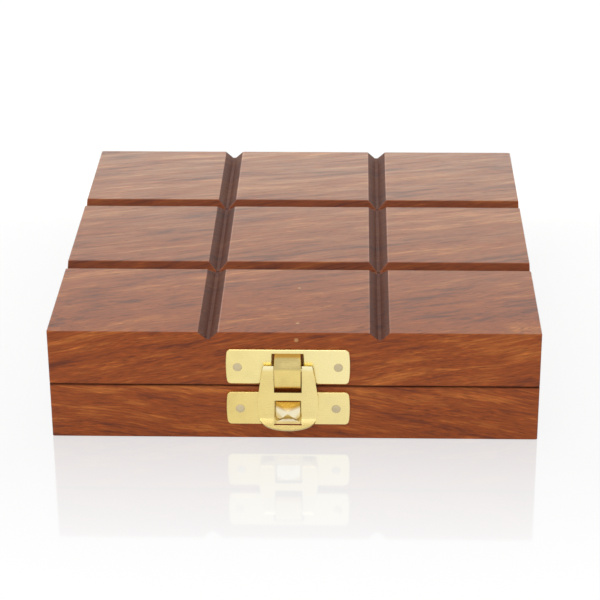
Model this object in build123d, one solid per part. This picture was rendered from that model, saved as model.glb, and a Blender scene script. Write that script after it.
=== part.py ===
from build123d import *
import math
import os

# A hinged wooden game box, five inches square. The lid's outside is a noughts-and-crosses
# board, scored into nine cells by four V grooves. The base holds a cross-shaped peg
# solitaire board, and the four wells left in its corners hold the noughts and the crosses.
# Two small brass hinges join the halves at the back and a brass hasp shuts them in front.
# The frame is +X to the right, +Y to the back and +Z up, with the origin in the middle
# of the underside. Every size is in millimetres.

# The two wooden halves
BOX_SIDE = 127.0
HALF_HEIGHT = 15.2
SEAM_GAP = 0.2
WALL = 8.0
RECESS_CORNER = 6.0
UPRIGHT_EDGE = 0.6
RIM_ARRIS = 0.3

# The grooves that mark the nine cells on the lid
GROOVE_WIDTH = 5.3
GROOVE_FLOOR = 0.9
GROOVE_DEPTH = 2.0
GROOVE_ARRIS = 0.2

# The hollows of the two halves
BASE_FLOOR = 3.0
LID_ROOF = 5.5

# The solitaire board, its holes and its pegs
HOLE_PITCH = 14.0
ARM_MARGIN = 6.8
BOARD_THICKNESS = 6.0
BOARD_CLEARANCE = 0.15
BOARD_ARRIS = 0.5
HOLE_CHAMFER = 0.4
PEG_RADIUS = 1.98
PEG_CLEARANCE = 0.07
PEG_LENGTH = 15.0
PEG_HEAD_RADIUS = 3.2
PEG_NECK_HEIGHT = 9.4
PEG_HEAD_RIM = 1.6
PEG_HEAD_RISE = 2.2
PEG_TIP_CHAMFER = 0.4

# The noughts and crosses, stacked in the corner wells
PIECE_SIZE = 28.0
PIECE_THICKNESS = 4.0
NOUGHT_HOLE = 12.4
CROSS_BAR = 7.6
NOUGHT_ARRIS = 0.6
CROSS_ARRIS = 0.42
TALL_STACK_COUNT = 3
SHORT_STACK_COUNT = 2

# The brass clasp on the front
CLASP_OFFSET = -1.5
SHEET = 0.8
PLATE_WIDTH = 32.2
PLATE_END_BOW = 0.6
PLATE_CORNER = 0.9
PLATE_ARRIS = 0.3
LID_PLATE_HEIGHT = 9.9
LID_PLATE_ABOVE_SEAM = 0.8
CATCH_PLATE_HEIGHT = 9.5
CATCH_PLATE_BELOW_SEAM = 1.55
LID_NAIL_SPACING = 26.0
CATCH_NAIL_SPACING = 24.9

# The sprung tongue that holds the hasp's pivot bar against the lid
TONGUE_WIDTH = 6.6
TONGUE_SIDE_GAP = 0.55
TONGUE_ROOT = 1.35
TONGUE_LAP = 1.1
TONGUE_CREST_ABOVE_BAR = 0.9
TONGUE_SHOULDER = 1.35
TONGUE_CURL = 0.8
TONGUE_END_GAP = 0.1
BAR_RADIUS = 0.8
BAR_TO_SHEET = 0.2
BAR_TO_TONGUE = 0.4
BAR_BELOW_PLATE_TOP = 5.0

# The hasp, whose heights are measured down from its bar
HASP_SHEET = 0.9
HASP_TOP_WIDTH = 12.5
HASP_WIDTH = 15.5
HASP_FOOT_WIDTH = 14.6
WINDOW_WIDTH = 7.15
CATCH_WINDOW_HEIGHT = 6.7
WINDOW_BRIDGE = 2.35
BRIDGE_BELOW_BAR = 6.55
HASP_SHOULDER_DROP = 6.3
HASP_CREASE_DROP = 1.4
HASP_CREASE_OUT = 0.55
HASP_NECK_DROP = 3.4
HASP_NECK_OUT = 0.3
HASP_TO_CATCH_PLATE = 0.5
LIP_CREASE = 1.3
LIP_BEND = 1.2
LIP_BEND_OUT = 0.35
LIP_DROP = 1.05
LIP_REACH = 3.0
HASP_FOOT_RISE = 1.2
HASP_CORNER = 0.5

# The catch that the hasp snaps over
CATCH_WIDTH = 6.3
CATCH_WINDOW_GAP = 0.45
CATCH_SHOULDER = 1.1
CATCH_REACH = 3.6
CATCH_PEAK_SHARE = 0.68

# The nails
NAIL_HEAD_RADIUS = 1.2
NAIL_HEAD_THICKNESS = 0.35
NAIL_RADIUS = 0.6
NAIL_LENGTH = 6.0
NAIL_CLEARANCE = 0.04

# The hinges at the back
HINGE_INSET = 28.5
HINGE_WIDTH = 20.0
HINGE_LEAF_HEIGHT = 10.0
HINGE_LEAF_CORNER = 1.0
HINGE_NAIL_SPACING = 12.0
HINGE_NAIL_FROM_AXIS = 6.2
KNUCKLE_RADIUS = 1.5
KNUCKLE_COUNT = 5
KNUCKLE_GAP = 0.1
KNUCKLE_TO_WOOD = 0.1
LEAF_TO_KNUCKLE = 0.2
PIN_RADIUS = 0.75
PIN_CLEARANCE = 0.05

# Places that follow from the sizes above
HALF_SIDE = BOX_SIDE / 2
HINGE_SPREAD = BOX_SIDE - 2 * HINGE_INSET
SEAM = HALF_HEIGHT + SEAM_GAP / 2
LID_BOTTOM = HALF_HEIGHT + SEAM_GAP
BOX_HEIGHT = LID_BOTTOM + HALF_HEIGHT
RECESS_SIDE = BOX_SIDE - 2 * WALL
CELL = (BOX_SIDE - 2 * GROOVE_WIDTH) / 3
GROOVE_CENTRE = (CELL + GROOVE_WIDTH) / 2
ARM_HALF_WIDTH = HOLE_PITCH + ARM_MARGIN
WELL_CENTRE = (ARM_HALF_WIDTH + RECESS_SIDE / 2) / 2
FRONT = -HALF_SIDE
BACK = HALF_SIDE
LID_PLATE_BOTTOM = SEAM + LID_PLATE_ABOVE_SEAM
LID_PLATE_TOP = LID_PLATE_BOTTOM + LID_PLATE_HEIGHT
CATCH_PLATE_TOP = SEAM - CATCH_PLATE_BELOW_SEAM
CATCH_PLATE_BOTTOM = CATCH_PLATE_TOP - CATCH_PLATE_HEIGHT
BAR_HEIGHT = LID_PLATE_TOP - BAR_BELOW_PLATE_TOP
BAR_OUT = SHEET + BAR_TO_SHEET + BAR_RADIUS
BRIDGE_TOP = BAR_HEIGHT - BRIDGE_BELOW_BAR
CATCH_WINDOW_TOP = BRIDGE_TOP - WINDOW_BRIDGE
CATCH_WINDOW_BOTTOM = CATCH_WINDOW_TOP - CATCH_WINDOW_HEIGHT
HASP_BACK = SHEET + HASP_TO_CATCH_PLATE
KNUCKLE_OUT = KNUCKLE_RADIUS + KNUCKLE_TO_WOOD


def upright_block(width, depth, bottom, height):
    """A plain block whose underside is centred over the origin, at the height bottom."""
    block = Box(width, depth, height, align=(Align.CENTER, Align.CENTER, Align.MIN))
    return Pos(0, 0, bottom) * block


def recess(bottom, depth):
    """The rounded square hollow of one half, as a solid to cut away."""
    hollow = extrude(RectangleRounded(RECESS_SIDE, RECESS_SIDE, RECESS_CORNER), depth)
    return Pos(0, 0, bottom) * hollow


def eased_block(bottom):
    """One half before it is hollowed, with its outer edges rounded over."""
    block = upright_block(BOX_SIDE, BOX_SIDE, bottom, HALF_HEIGHT)
    block = fillet(block.edges().filter_by(Axis.Z), UPRIGHT_EDGE)
    rims = block.faces().filter_by(Axis.Z)
    return fillet(rims.edges(), RIM_ARRIS)


def front_sketch(sketch, out):
    """Stands a flat sketch of X and height up in front of the box, its face out from the front."""
    return Pos(CLASP_OFFSET, FRONT - out, 0) * (Rot(90, 0, 0) * sketch)


def nail(centre_x, centre_height, face, outward):
    """A flat-headed nail through a sheet of brass. outward is -1 in front and 1 at the back."""
    shank = Cylinder(NAIL_RADIUS, NAIL_LENGTH, align=(Align.CENTER, Align.CENTER, Align.MAX))
    head = Cylinder(
        NAIL_HEAD_RADIUS, NAIL_HEAD_THICKNESS, align=(Align.CENTER, Align.CENTER, Align.MIN)
    )
    head = fillet(head.edges().group_by(Axis.Z)[-1], NAIL_HEAD_THICKNESS * 0.7)
    body = Rot(-90 * outward, 0, 0) * (head + shank)
    return Pos(centre_x, face + outward * SHEET, centre_height) * body


def nail_hole(centre_x, centre_height, face, outward):
    """What a nail takes out of the brass and the wood: its shank and a little clearance."""
    radius = NAIL_RADIUS + NAIL_CLEARANCE
    hole = Rot(90, 0, 0) * Cylinder(radius, 2 * (NAIL_LENGTH + NAIL_CLEARANCE))
    return Pos(centre_x, face + outward * SHEET, centre_height) * hole


def clasp_nail_places(spacing, bottom, height):
    """The two nails of a clasp plate, on its middle line."""
    middle = bottom + height / 2
    return [(CLASP_OFFSET + side * spacing / 2, middle) for side in (-1, 1)]


def hinge_nail_places(upward):
    """The four nails of both hinges' upper leaves (1) or lower leaves (-1)."""
    height = SEAM + upward * HINGE_NAIL_FROM_AXIS
    return [
        (hinge * HINGE_SPREAD / 2 + side * HINGE_NAIL_SPACING / 2, height)
        for hinge in (-1, 1)
        for side in (-1, 1)
    ]


LID_PLATE_NAILS = clasp_nail_places(LID_NAIL_SPACING, LID_PLATE_BOTTOM, LID_PLATE_HEIGHT)
CATCH_PLATE_NAILS = clasp_nail_places(
    CATCH_NAIL_SPACING, CATCH_PLATE_BOTTOM, CATCH_PLATE_HEIGHT
)


def drilled(wood, front_places, back_places):
    """The wood with a pilot hole for each nail."""
    for x, height in front_places:
        wood -= nail_hole(x, height, FRONT, -1)
    for x, height in back_places:
        wood -= nail_hole(x, height, BACK, 1)
    return wood


def base_tray():
    """The lower half: a square tray with a thin floor."""
    tray = eased_block(0) - recess(BASE_FLOOR, HALF_HEIGHT)
    return drilled(tray, CATCH_PLATE_NAILS, hinge_nail_places(-1))


def groove(centre, along_x):
    """One V groove across the whole lid, as a solid to cut away."""
    mouth = GROOVE_WIDTH / 2
    floor = GROOVE_FLOOR / 2
    depth = GROOVE_DEPTH
    above = 2 * mouth - floor
    section = Polygon(
        (-above, depth), (-floor, -depth), (floor, -depth), (above, depth), align=None
    )
    bar = extrude(Plane.XZ * section, BOX_SIDE, both=True)
    place = Pos(centre, 0, BOX_HEIGHT) * bar
    return Rot(0, 0, 90) * place if along_x else place


def lid():
    """The upper half: nine cells outside and a shallow hollow inside."""
    block = eased_block(LID_BOTTOM)
    for centre in (-GROOVE_CENTRE, GROOVE_CENTRE):
        block -= groove(centre, False)
        block -= groove(centre, True)
    cells = block.faces().filter_by(Axis.Z).group_by(Axis.Z)[-1]
    cell_edges = cells.edges().filter_by(
        lambda edge: max(abs(edge.center().X), abs(edge.center().Y)) < HALF_SIDE - 2 * RIM_ARRIS
    )
    block = fillet(cell_edges, GROOVE_ARRIS)
    block -= recess(LID_BOTTOM - HALF_HEIGHT, 2 * HALF_HEIGHT - LID_ROOF)
    return drilled(block, LID_PLATE_NAILS, hinge_nail_places(1))


def hole_places():
    """The thirty-three holes of the English solitaire cross, row by row."""
    steps = range(-3, 4)
    return [
        (column * HOLE_PITCH, row * HOLE_PITCH)
        for row in reversed(steps)
        for column in steps
        if abs(row) <= 1 or abs(column) <= 1
    ]


def solitaire_board():
    """The drilled cross that lies in the tray and leaves its four corners free."""
    reach = RECESS_SIDE - 2 * BOARD_CLEARANCE
    arm = 2 * ARM_HALF_WIDTH
    board = upright_block(reach, arm, BASE_FLOOR, BOARD_THICKNESS)
    board += upright_block(arm, reach, BASE_FLOOR, BOARD_THICKNESS)
    board = chamfer(board.faces().sort_by(Axis.Z)[-1].edges(), BOARD_ARRIS)
    radius = PEG_RADIUS + PEG_CLEARANCE
    top = BASE_FLOOR + BOARD_THICKNESS
    hole = Cylinder(radius, 3 * BOARD_THICKNESS)
    mouth = Pos(0, 0, -HOLE_CHAMFER / 2) * Cone(radius, radius + HOLE_CHAMFER, HOLE_CHAMFER)
    drill = hole + mouth
    return board - [Pos(x, y, top) * drill for x, y in hole_places()]


def peg():
    """A turned peg with a domed head, standing on the origin."""
    neck = PEG_NECK_HEIGHT
    rim = neck + PEG_HEAD_RISE - PEG_HEAD_RIM / 2
    dome = rim + PEG_HEAD_RIM
    outline = Polyline(
        (0, 0),
        (PEG_RADIUS - PEG_TIP_CHAMFER, 0),
        (PEG_RADIUS, PEG_TIP_CHAMFER),
        (PEG_RADIUS, neck),
        (PEG_HEAD_RADIUS, rim),
        (PEG_HEAD_RADIUS, dome),
    )
    crown = TangentArc((0, PEG_LENGTH), (PEG_HEAD_RADIUS, dome), tangent=(1, 0))
    axis_line = Line((0, PEG_LENGTH), (0, 0))
    profile = make_face([outline, crown, axis_line])
    return revolve(Plane.XZ * profile, Axis.Z)


def nought(bottom):
    """A flat wooden ring."""
    ring = Circle(PIECE_SIZE / 2) - Circle(NOUGHT_HOLE / 2)
    ring = extrude(ring, PIECE_THICKNESS)
    return Pos(0, 0, bottom) * fillet(ring.edges(), NOUGHT_ARRIS)


def cross(bottom):
    """A flat wooden X, its bars cut to fit the same square as a nought."""
    bar_length = PIECE_SIZE * math.sqrt(2) - CROSS_BAR
    bars = Rot(0, 0, 45) * Rectangle(bar_length, CROSS_BAR)
    bars += Rot(0, 0, -45) * Rectangle(bar_length, CROSS_BAR)
    solid = extrude(bars, PIECE_THICKNESS)
    flats = solid.faces().filter_by(Axis.Z)
    return Pos(0, 0, bottom) * chamfer(flats.edges(), CROSS_ARRIS)


def plate_blank(bottom, height):
    """The flat outline of a clasp plate, its short ends bowed outwards."""
    half = PLATE_WIDTH / 2
    straight = half - PLATE_END_BOW
    top = bottom + height
    middle = bottom + height / 2
    outline = [
        Line((-straight, bottom), (straight, bottom)),
        ThreePointArc((straight, bottom), (half, middle), (straight, top)),
        Line((straight, top), (-straight, top)),
        ThreePointArc((-straight, top), (-half, middle), (-straight, bottom)),
    ]
    face = make_face(outline)
    return fillet(face.vertices(), PLATE_CORNER)


def pressed_plate(bottom, height, nail_places):
    """A sheet of brass on the front of the box, with its rim rounded and its nail holes."""
    sheet = front_sketch(extrude(plate_blank(bottom, height), SHEET), 0)
    rim = sheet.faces().sort_by(Axis.Y)[0].edges()
    sheet = fillet(rim, PLATE_ARRIS)
    for x, middle in nail_places:
        sheet -= nail_hole(x, middle, FRONT, -1)
    return sheet


def strip_profile(points, thickness):
    """A ribbon of sheet, drawn edge on, whose middle line follows the points smoothly."""
    line = Spline(*points)
    return trace(line, thickness)


def side_extrude(sketch, width):
    """Turns a sketch of distance out and height into a solid across the clasp's middle."""
    standing = Plane(origin=(CLASP_OFFSET, FRONT, 0), x_dir=(0, -1, 0), z_dir=(-1, 0, 0))
    return extrude(standing * sketch, width / 2, both=True)


def tongue():
    """The sprung tongue of the lid plate: out over the pivot bar and back in below it."""
    middle = SHEET / 2
    clear = BAR_OUT + BAR_RADIUS + BAR_TO_TONGUE + middle
    root = LID_PLATE_TOP - TONGUE_ROOT
    crest = BAR_HEIGHT + TONGUE_CREST_ABOVE_BAR
    points = [
        (middle, root + TONGUE_LAP),
        (middle, root),
        (clear - TONGUE_SHOULDER, (root + crest) / 2),
        (clear, crest),
        (clear - TONGUE_CURL / 4, (crest + LID_PLATE_BOTTOM) / 2),
        (clear - TONGUE_CURL, LID_PLATE_BOTTOM + TONGUE_END_GAP),
    ]
    ribbon = side_extrude(strip_profile(points, SHEET), TONGUE_WIDTH)
    wood = Box(2 * TONGUE_WIDTH, 2 * SHEET, 2 * LID_PLATE_HEIGHT)
    return ribbon - Pos(CLASP_OFFSET, FRONT + SHEET, BAR_HEIGHT) * wood


def clasp_plate():
    """The plate on the lid, notched for the pivot bar, with its sprung tongue."""
    sheet = pressed_plate(LID_PLATE_BOTTOM, LID_PLATE_HEIGHT, LID_PLATE_NAILS)
    notch_top = LID_PLATE_TOP - TONGUE_ROOT
    notch_height = notch_top - LID_PLATE_BOTTOM + 2 * SHEET
    notch = Box(TONGUE_WIDTH + 2 * TONGUE_SIDE_GAP, 4 * SHEET, notch_height)
    sheet -= Pos(CLASP_OFFSET, FRONT, notch_top - notch_height / 2) * notch
    return sheet + tongue()


def hasp_outline():
    """The hasp seen from the front: two arms, a bridge, the catch window and a round foot."""
    top = BAR_HEIGHT + BAR_RADIUS
    shoulder = BAR_HEIGHT - HASP_SHOULDER_DROP
    foot = CATCH_WINDOW_BOTTOM
    heel = foot + HASP_FOOT_RISE
    bottom = foot - LIP_DROP
    half_top, half_wide, half_foot = HASP_TOP_WIDTH / 2, HASP_WIDTH / 2, HASP_FOOT_WIDTH / 2
    edge = [
        Polyline((-half_foot, foot), (-half_wide, heel), (-half_wide, shoulder),
                 (-half_top, top), (half_top, top), (half_wide, shoulder),
                 (half_wide, heel), (half_foot, foot)),
        ThreePointArc((half_foot, foot), (0, bottom), (-half_foot, foot)),
    ]
    face = fillet(make_face(edge).vertices(), HASP_CORNER)
    arm_window = Rectangle(WINDOW_WIDTH, top - BRIDGE_TOP + 2 * BAR_RADIUS)
    arm_window = Pos(0, (top + 2 * BAR_RADIUS + BRIDGE_TOP) / 2) * arm_window
    catch_window = RectangleRounded(WINDOW_WIDTH, CATCH_WINDOW_HEIGHT, HASP_CORNER)
    catch_window = Pos(0, CATCH_WINDOW_BOTTOM + CATCH_WINDOW_HEIGHT / 2) * catch_window
    return face - arm_window - catch_window


def clasp_hasp():
    """The swinging hasp: a bent sheet with two arms, and the pivot bar between them."""
    middle = HASP_BACK + HASP_SHEET / 2
    lip_top = CATCH_WINDOW_BOTTOM + LIP_CREASE
    points = [
        (BAR_OUT, BAR_HEIGHT),
        (middle + HASP_CREASE_OUT, BAR_HEIGHT - HASP_CREASE_DROP),
        (middle + HASP_NECK_OUT, BAR_HEIGHT - HASP_NECK_DROP),
        (middle, (BRIDGE_TOP + CATCH_WINDOW_TOP) / 2),
        (middle, lip_top + LIP_BEND),
        (middle + LIP_BEND_OUT, lip_top),
        (middle + LIP_REACH, CATCH_WINDOW_BOTTOM - LIP_DROP),
    ]
    sheet = side_extrude(strip_profile(points, HASP_SHEET), HASP_WIDTH + 2 * HASP_CORNER)
    outline = front_sketch(extrude(hasp_outline(), 4 * LIP_REACH), 0)
    arms = sheet & outline
    barrel = Rot(0, 90, 0) * Cylinder(BAR_RADIUS, HASP_TOP_WIDTH - 2 * HASP_CORNER)
    return arms + Pos(CLASP_OFFSET, FRONT - BAR_OUT, BAR_HEIGHT) * barrel


def catch():
    """The pressed catch: a square boss whose front rises to one off-centre peak."""
    half = CATCH_WIDTH / 2
    low = CATCH_WINDOW_BOTTOM + CATCH_WINDOW_GAP
    high = CATCH_WINDOW_TOP - CATCH_WINDOW_GAP
    peak = Vector(0, -(SHEET + CATCH_REACH), low + (high - low) * CATCH_PEAK_SHARE)
    shoulder = -(SHEET + CATCH_SHOULDER)
    corners = [
        Vector(x, shoulder, z) for x, z in ((-half, low), (half, low), (half, high), (-half, high))
    ]
    faces = [make_face(Polyline(*corners, close=True))]
    for first, second in zip(corners, corners[1:] + corners[:1]):
        faces.append(make_face(Polyline(first, second, peak, close=True)))
    point = Solid(Shell(faces))
    boss = Box(CATCH_WIDTH, CATCH_SHOULDER + SHEET / 2, high - low)
    boss = Pos(0, -(SHEET + CATCH_SHOULDER) + (CATCH_SHOULDER + SHEET / 2) / 2, (low + high) / 2) * boss
    return Pos(CLASP_OFFSET, FRONT, 0) * (point + boss)


def catch_plate():
    """The plate on the base with the catch pressed out of its middle."""
    return pressed_plate(CATCH_PLATE_BOTTOM, CATCH_PLATE_HEIGHT, CATCH_PLATE_NAILS) + catch()


def knuckles(first):
    """Every second knuckle of a hinge along its pin, starting at the one numbered first."""
    length = HINGE_WIDTH / KNUCKLE_COUNT
    return [
        -HINGE_WIDTH / 2 + (index + 0.5) * length for index in range(first, KNUCKLE_COUNT, 2)
    ]


def hinge_leaf(centre_x, upward):
    """A hinge leaf nailed to the back: upward is 1 on the lid and -1 on the base."""
    own, other = (knuckles(1), knuckles(0)) if upward > 0 else (knuckles(0), knuckles(1))
    axis_out = BACK + KNUCKLE_OUT
    length = HINGE_WIDTH / KNUCKLE_COUNT
    blank = Box(HINGE_WIDTH, SHEET, HINGE_LEAF_HEIGHT)
    blank = Pos(0, BACK + SHEET / 2, SEAM + upward * HINGE_LEAF_HEIGHT / 2) * blank
    far = blank.edges().filter_by(Axis.Y).sort_by(Axis.Z)
    far_corners = far[-2:] if upward > 0 else far[:2]
    leaf = fillet(far_corners, HINGE_LEAF_CORNER)
    for x in own:
        knuckle = Rot(0, 90, 0) * Cylinder(KNUCKLE_RADIUS, length - KNUCKLE_GAP)
        leaf += Pos(x, axis_out, SEAM) * knuckle
    for x in other:
        gap = Rot(0, 90, 0) * Cylinder(KNUCKLE_RADIUS + LEAF_TO_KNUCKLE, length + KNUCKLE_GAP)
        leaf -= Pos(x, axis_out, SEAM) * gap
    leaf -= Pos(0, axis_out, SEAM) * (Rot(0, 90, 0) * Cylinder(PIN_RADIUS + PIN_CLEARANCE, HINGE_WIDTH))
    leaf = Pos(centre_x, 0, 0) * leaf
    for x, height in hinge_nail_places(upward):
        leaf -= nail_hole(x, height, BACK, 1)
    return leaf


def hinge_pin(centre_x):
    """The pin through all the knuckles of one hinge."""
    pin = Rot(0, 90, 0) * Cylinder(PIN_RADIUS, HINGE_WIDTH)
    return Pos(centre_x, BACK + KNUCKLE_OUT, SEAM) * pin


def nails(places, face, outward):
    """A set of like nails, each its own solid."""
    return Compound([nail(x, height, face, outward) for x, height in places])


def game_pieces():
    """The noughts in the right-hand wells and the crosses in the left-hand ones."""
    wells = {
        "nought": [((1, 1), TALL_STACK_COUNT), ((1, -1), SHORT_STACK_COUNT)],
        "cross": [((-1, 1), TALL_STACK_COUNT), ((-1, -1), SHORT_STACK_COUNT)],
    }
    made = {}
    for name, shape in (("nought", nought), ("cross", cross)):
        number = 0
        for (right, back), count in wells[name]:
            for level in range(count):
                number += 1
                place = Pos(right * WELL_CENTRE, back * WELL_CENTRE, 0)
                made[f"{name}_{number}"] = place * shape(BASE_FLOOR + level * PIECE_THICKNESS)
    return made


def pegs():
    """A peg in every hole but the middle one, which is empty when a game starts."""
    taken = [place for place in hole_places() if place != (0, 0)]
    one = peg()
    return {
        f"peg_{number:02d}": Pos(x, y, BASE_FLOOR) * one
        for number, (x, y) in enumerate(taken, start=1)
    }


def main():
    nodes = {
        "base_tray": base_tray(),
        "lid": lid(),
        "solitaire_board": solitaire_board(),
        "clasp_plate": clasp_plate(),
        "clasp_hasp": clasp_hasp(),
        "catch_plate": catch_plate(),
        "clasp_plate_nails": nails(LID_PLATE_NAILS, FRONT, -1),
        "catch_plate_nails": nails(CATCH_PLATE_NAILS, FRONT, -1),
        "hinge_lid_nails": nails(hinge_nail_places(1), BACK, 1),
        "hinge_base_nails": nails(hinge_nail_places(-1), BACK, 1),
    }
    for side, centre_x in (("left", -HINGE_SPREAD / 2), ("right", HINGE_SPREAD / 2)):
        nodes[f"hinge_{side}_lid_leaf"] = hinge_leaf(centre_x, 1)
        nodes[f"hinge_{side}_base_leaf"] = hinge_leaf(centre_x, -1)
        nodes[f"hinge_{side}_pin"] = hinge_pin(centre_x)
    nodes.update(pegs())
    nodes.update(game_pieces())
    os.makedirs("parts", exist_ok=True)
    for name, shape in nodes.items():
        export_step(shape, f"parts/{name}.step")
    print(len(nodes), "nodes, box height", BOX_HEIGHT)


main()
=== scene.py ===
"""Looks for a folding game box: lacquered rosewood, a polished brass clasp and turned pegs.

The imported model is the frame. Sizes are built in millimetres and scaled to metres last.
"""

from collections import namedtuple
import math

import bmesh
import bpy
from mathutils import Matrix, Vector


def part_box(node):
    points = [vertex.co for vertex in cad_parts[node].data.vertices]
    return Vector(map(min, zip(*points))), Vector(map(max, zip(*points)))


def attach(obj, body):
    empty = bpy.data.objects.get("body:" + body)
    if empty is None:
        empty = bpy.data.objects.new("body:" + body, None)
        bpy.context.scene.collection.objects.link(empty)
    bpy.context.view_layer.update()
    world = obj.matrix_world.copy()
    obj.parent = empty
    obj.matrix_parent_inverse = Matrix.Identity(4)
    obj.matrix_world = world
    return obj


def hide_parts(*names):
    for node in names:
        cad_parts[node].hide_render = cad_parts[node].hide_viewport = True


bl_info = {
    "name": "Folding game box",
    "version": (1, 0, 0),
    "blender": (4, 5, 0),
    "location": "View3D > Sidebar > Game box",
    "description": "Dresses a folding noughts-and-crosses and peg solitaire box",
    "category": "Object",
}

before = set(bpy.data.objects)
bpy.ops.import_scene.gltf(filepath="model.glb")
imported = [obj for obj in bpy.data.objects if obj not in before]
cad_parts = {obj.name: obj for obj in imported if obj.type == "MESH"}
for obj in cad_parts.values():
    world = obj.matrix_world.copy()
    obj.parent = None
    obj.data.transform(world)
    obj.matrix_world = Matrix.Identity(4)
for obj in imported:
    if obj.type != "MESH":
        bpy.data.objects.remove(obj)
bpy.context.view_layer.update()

METRE = 1000.0
FRONT, BACK = (corner.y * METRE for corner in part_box("base_tray"))
HALF_SIDE = (BACK - FRONT) / 2
BOX_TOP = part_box("lid")[1].z * METRE
SEAM = (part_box("base_tray")[1].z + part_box("lid")[0].z) / 2 * METRE
CLASP_CENTRE = sum(corner.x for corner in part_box("clasp_plate")) / 2 * METRE
HINGE_SIDES = ("left", "right")
KNUCKLE_COUNT = 5
PEG_COUNT = 32
PIECE_COUNT = 5

# Colours of painted shade, painted sheen, painted reflections and highlights, of wood filler and of the
# catch's own brass, as linear red, green and blue
PAINTED_SHADE = (0.030, 0.006, 0.003)
PAINTED_SHEEN = (0.480, 0.430, 0.300)
TOP_PAINTED_CAST = (0.91, 1.0, 1.0)
FILLER = (0.50, 0.26, 0.10)
CATCH_TINT = (0.96, 0.86, 0.60)
CATCH_TOP_REFLECTION = (0.60, 0.34, 0.05)
CATCH_LIP_REFLECTION = (0.86, 0.66, 0.26)
LIP_PAINTED_SHADE = (0.62, 0.48, 0.18)
ARM_SHINE = (0.94, 0.84, 0.50)
TONGUE_FACET_SHADE = (0.56, 0.44, 0.18)
TONGUE_UPPER_SHADE = (0.50, 0.27, 0.05)
TONGUE_CURL_REFLECTION = (0.62, 0.36, 0.07)

# How the tree's rings run through the lid and the tray, in millimetres
HEART_DEPTH = 80.0
SWAY_ASIDE, SWAY_UP, RIPPLE = 22.0, -20.0, 1.8

WELD = 0.0005  # Points closer than this are one
TOLERANCE = 0.01  # Lengths within this are the same
ARRIS_ANGLE = math.radians(26.0)  # Sharper edges are rounded over
BOW_ROUNDING = 0.36  # Share of a plate's height
BAR_SHARE = 0.85  # Part of the bar's radius that its polished surface shows

# The camera's place is in metres
CAMERA_PLACE = (0.015439, -0.536282, 0.264994)
CAMERA_HEADING, CAMERA_PITCH, CAMERA_ROLL = (math.radians(angle) for angle in (-1.649, 24.984, -0.347))
CAMERA_LENS, SENSOR_WIDTH = 123.88, 36.0
CAMERA_SHIFT = (-0.00055, -0.0279)
FLOOR_WHITE = (0.96, 0.96, 0.96)

Corner = namedtuple("Corner", "x y z")


def cad_box(node):
    """Both corners of a CAD node's box, in millimetres."""
    return [Corner(*(value * METRE for value in corner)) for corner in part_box(node)]


def length(name, description, millimetres):
    """A length that a user can change, kept in metres."""
    return bpy.props.FloatProperty(
        name=name, description=description, default=millimetres / METRE,
        min=0.0, soft_max=0.2, precision=5, subtype="DISTANCE", unit="LENGTH",
    )


def share(name, description, default):
    """A number between nothing and all."""
    return bpy.props.FloatProperty(
        name=name, description=description, default=default, min=0.0, max=1.0, subtype="FACTOR"
    )


def colour(name, description, default):
    """A colour, as linear red, green and blue."""
    return bpy.props.FloatVectorProperty(
        name=name, description=description, default=default, size=3, min=0.0, max=1.0, subtype="COLOR"
    )


def angle(name, description, degrees):
    """An angle that a user can change."""
    return bpy.props.FloatProperty(
        name=name, description=description, default=math.radians(degrees), subtype="ANGLE", unit="ROTATION"
    )


def power(name, description, watts):
    """A lamp's power."""
    return bpy.props.FloatProperty(name=name, description=description, default=watts, unit="POWER")


def mm(value):
    """A length property in millimetres."""
    return value * METRE


class WoodSettings(bpy.types.PropertyGroup):
    """Colours and finish of the woods"""
    rosewood_mid: colour("Rosewood", "Main colour of the box's wood", (0.268, 0.055, 0.007))
    rosewood_light: colour("Rosewood light", "Light streaks of the box's wood", (0.440, 0.125, 0.020))
    rosewood_dark: colour("Rosewood dark", "Dark streaks of the box's wood", (0.125, 0.024, 0.007))
    beech_mid: colour("Light wood", "Main colour of pegs and noughts", (0.620, 0.400, 0.205))
    beech_light: colour("Light wood light", "Light bands of pegs and noughts", (0.740, 0.530, 0.310))
    beech_dark: colour("Light wood dark", "Dark lines of pegs and noughts", (0.400, 0.220, 0.095))
    ebonised_mid: colour("Dark wood", "Main colour of the crosses", (0.085, 0.030, 0.013))
    ebonised_light: colour("Dark wood light", "Light bands of the crosses", (0.150, 0.056, 0.025))
    ebonised_dark: colour("Dark wood dark", "Dark lines of the crosses", (0.030, 0.010, 0.005))
    lacquer_roughness: share("Lacquer roughness", "Roughness of the box's lacquer", 0.34)
    grain_rise: angle("Grain rise", "Slope of the grain on the front", 7.0)
    grain_veer: angle("Grain veer", "Angle of the grain on the top", 9.0)


class BoxSettings(bpy.types.PropertyGroup):
    """Sizes of the two wooden halves"""
    wall: length("Wall", "Thickness of the walls", 8.0)
    recess_corner: length("Recess corner", "Rounding of the hollows' corners", 6.0)
    tray_floor: length("Tray floor", "Wood under the tray's hollow", 3.0)
    lid_roof: length("Lid roof", "Wood above the lid's hollow", 5.5)
    upright_edge: length("Upright edge", "Rounding of the four upright edges", 0.6)
    arris: length("Arris", "Rounding of the other edges", 0.3)
    groove_width: length("Groove width", "Width of a groove at its mouth", 5.3)
    groove_floor: length("Groove floor", "Width of a groove at its bottom", 0.9)
    groove_depth: length("Groove depth", "Depth of a groove", 2.0)


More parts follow.
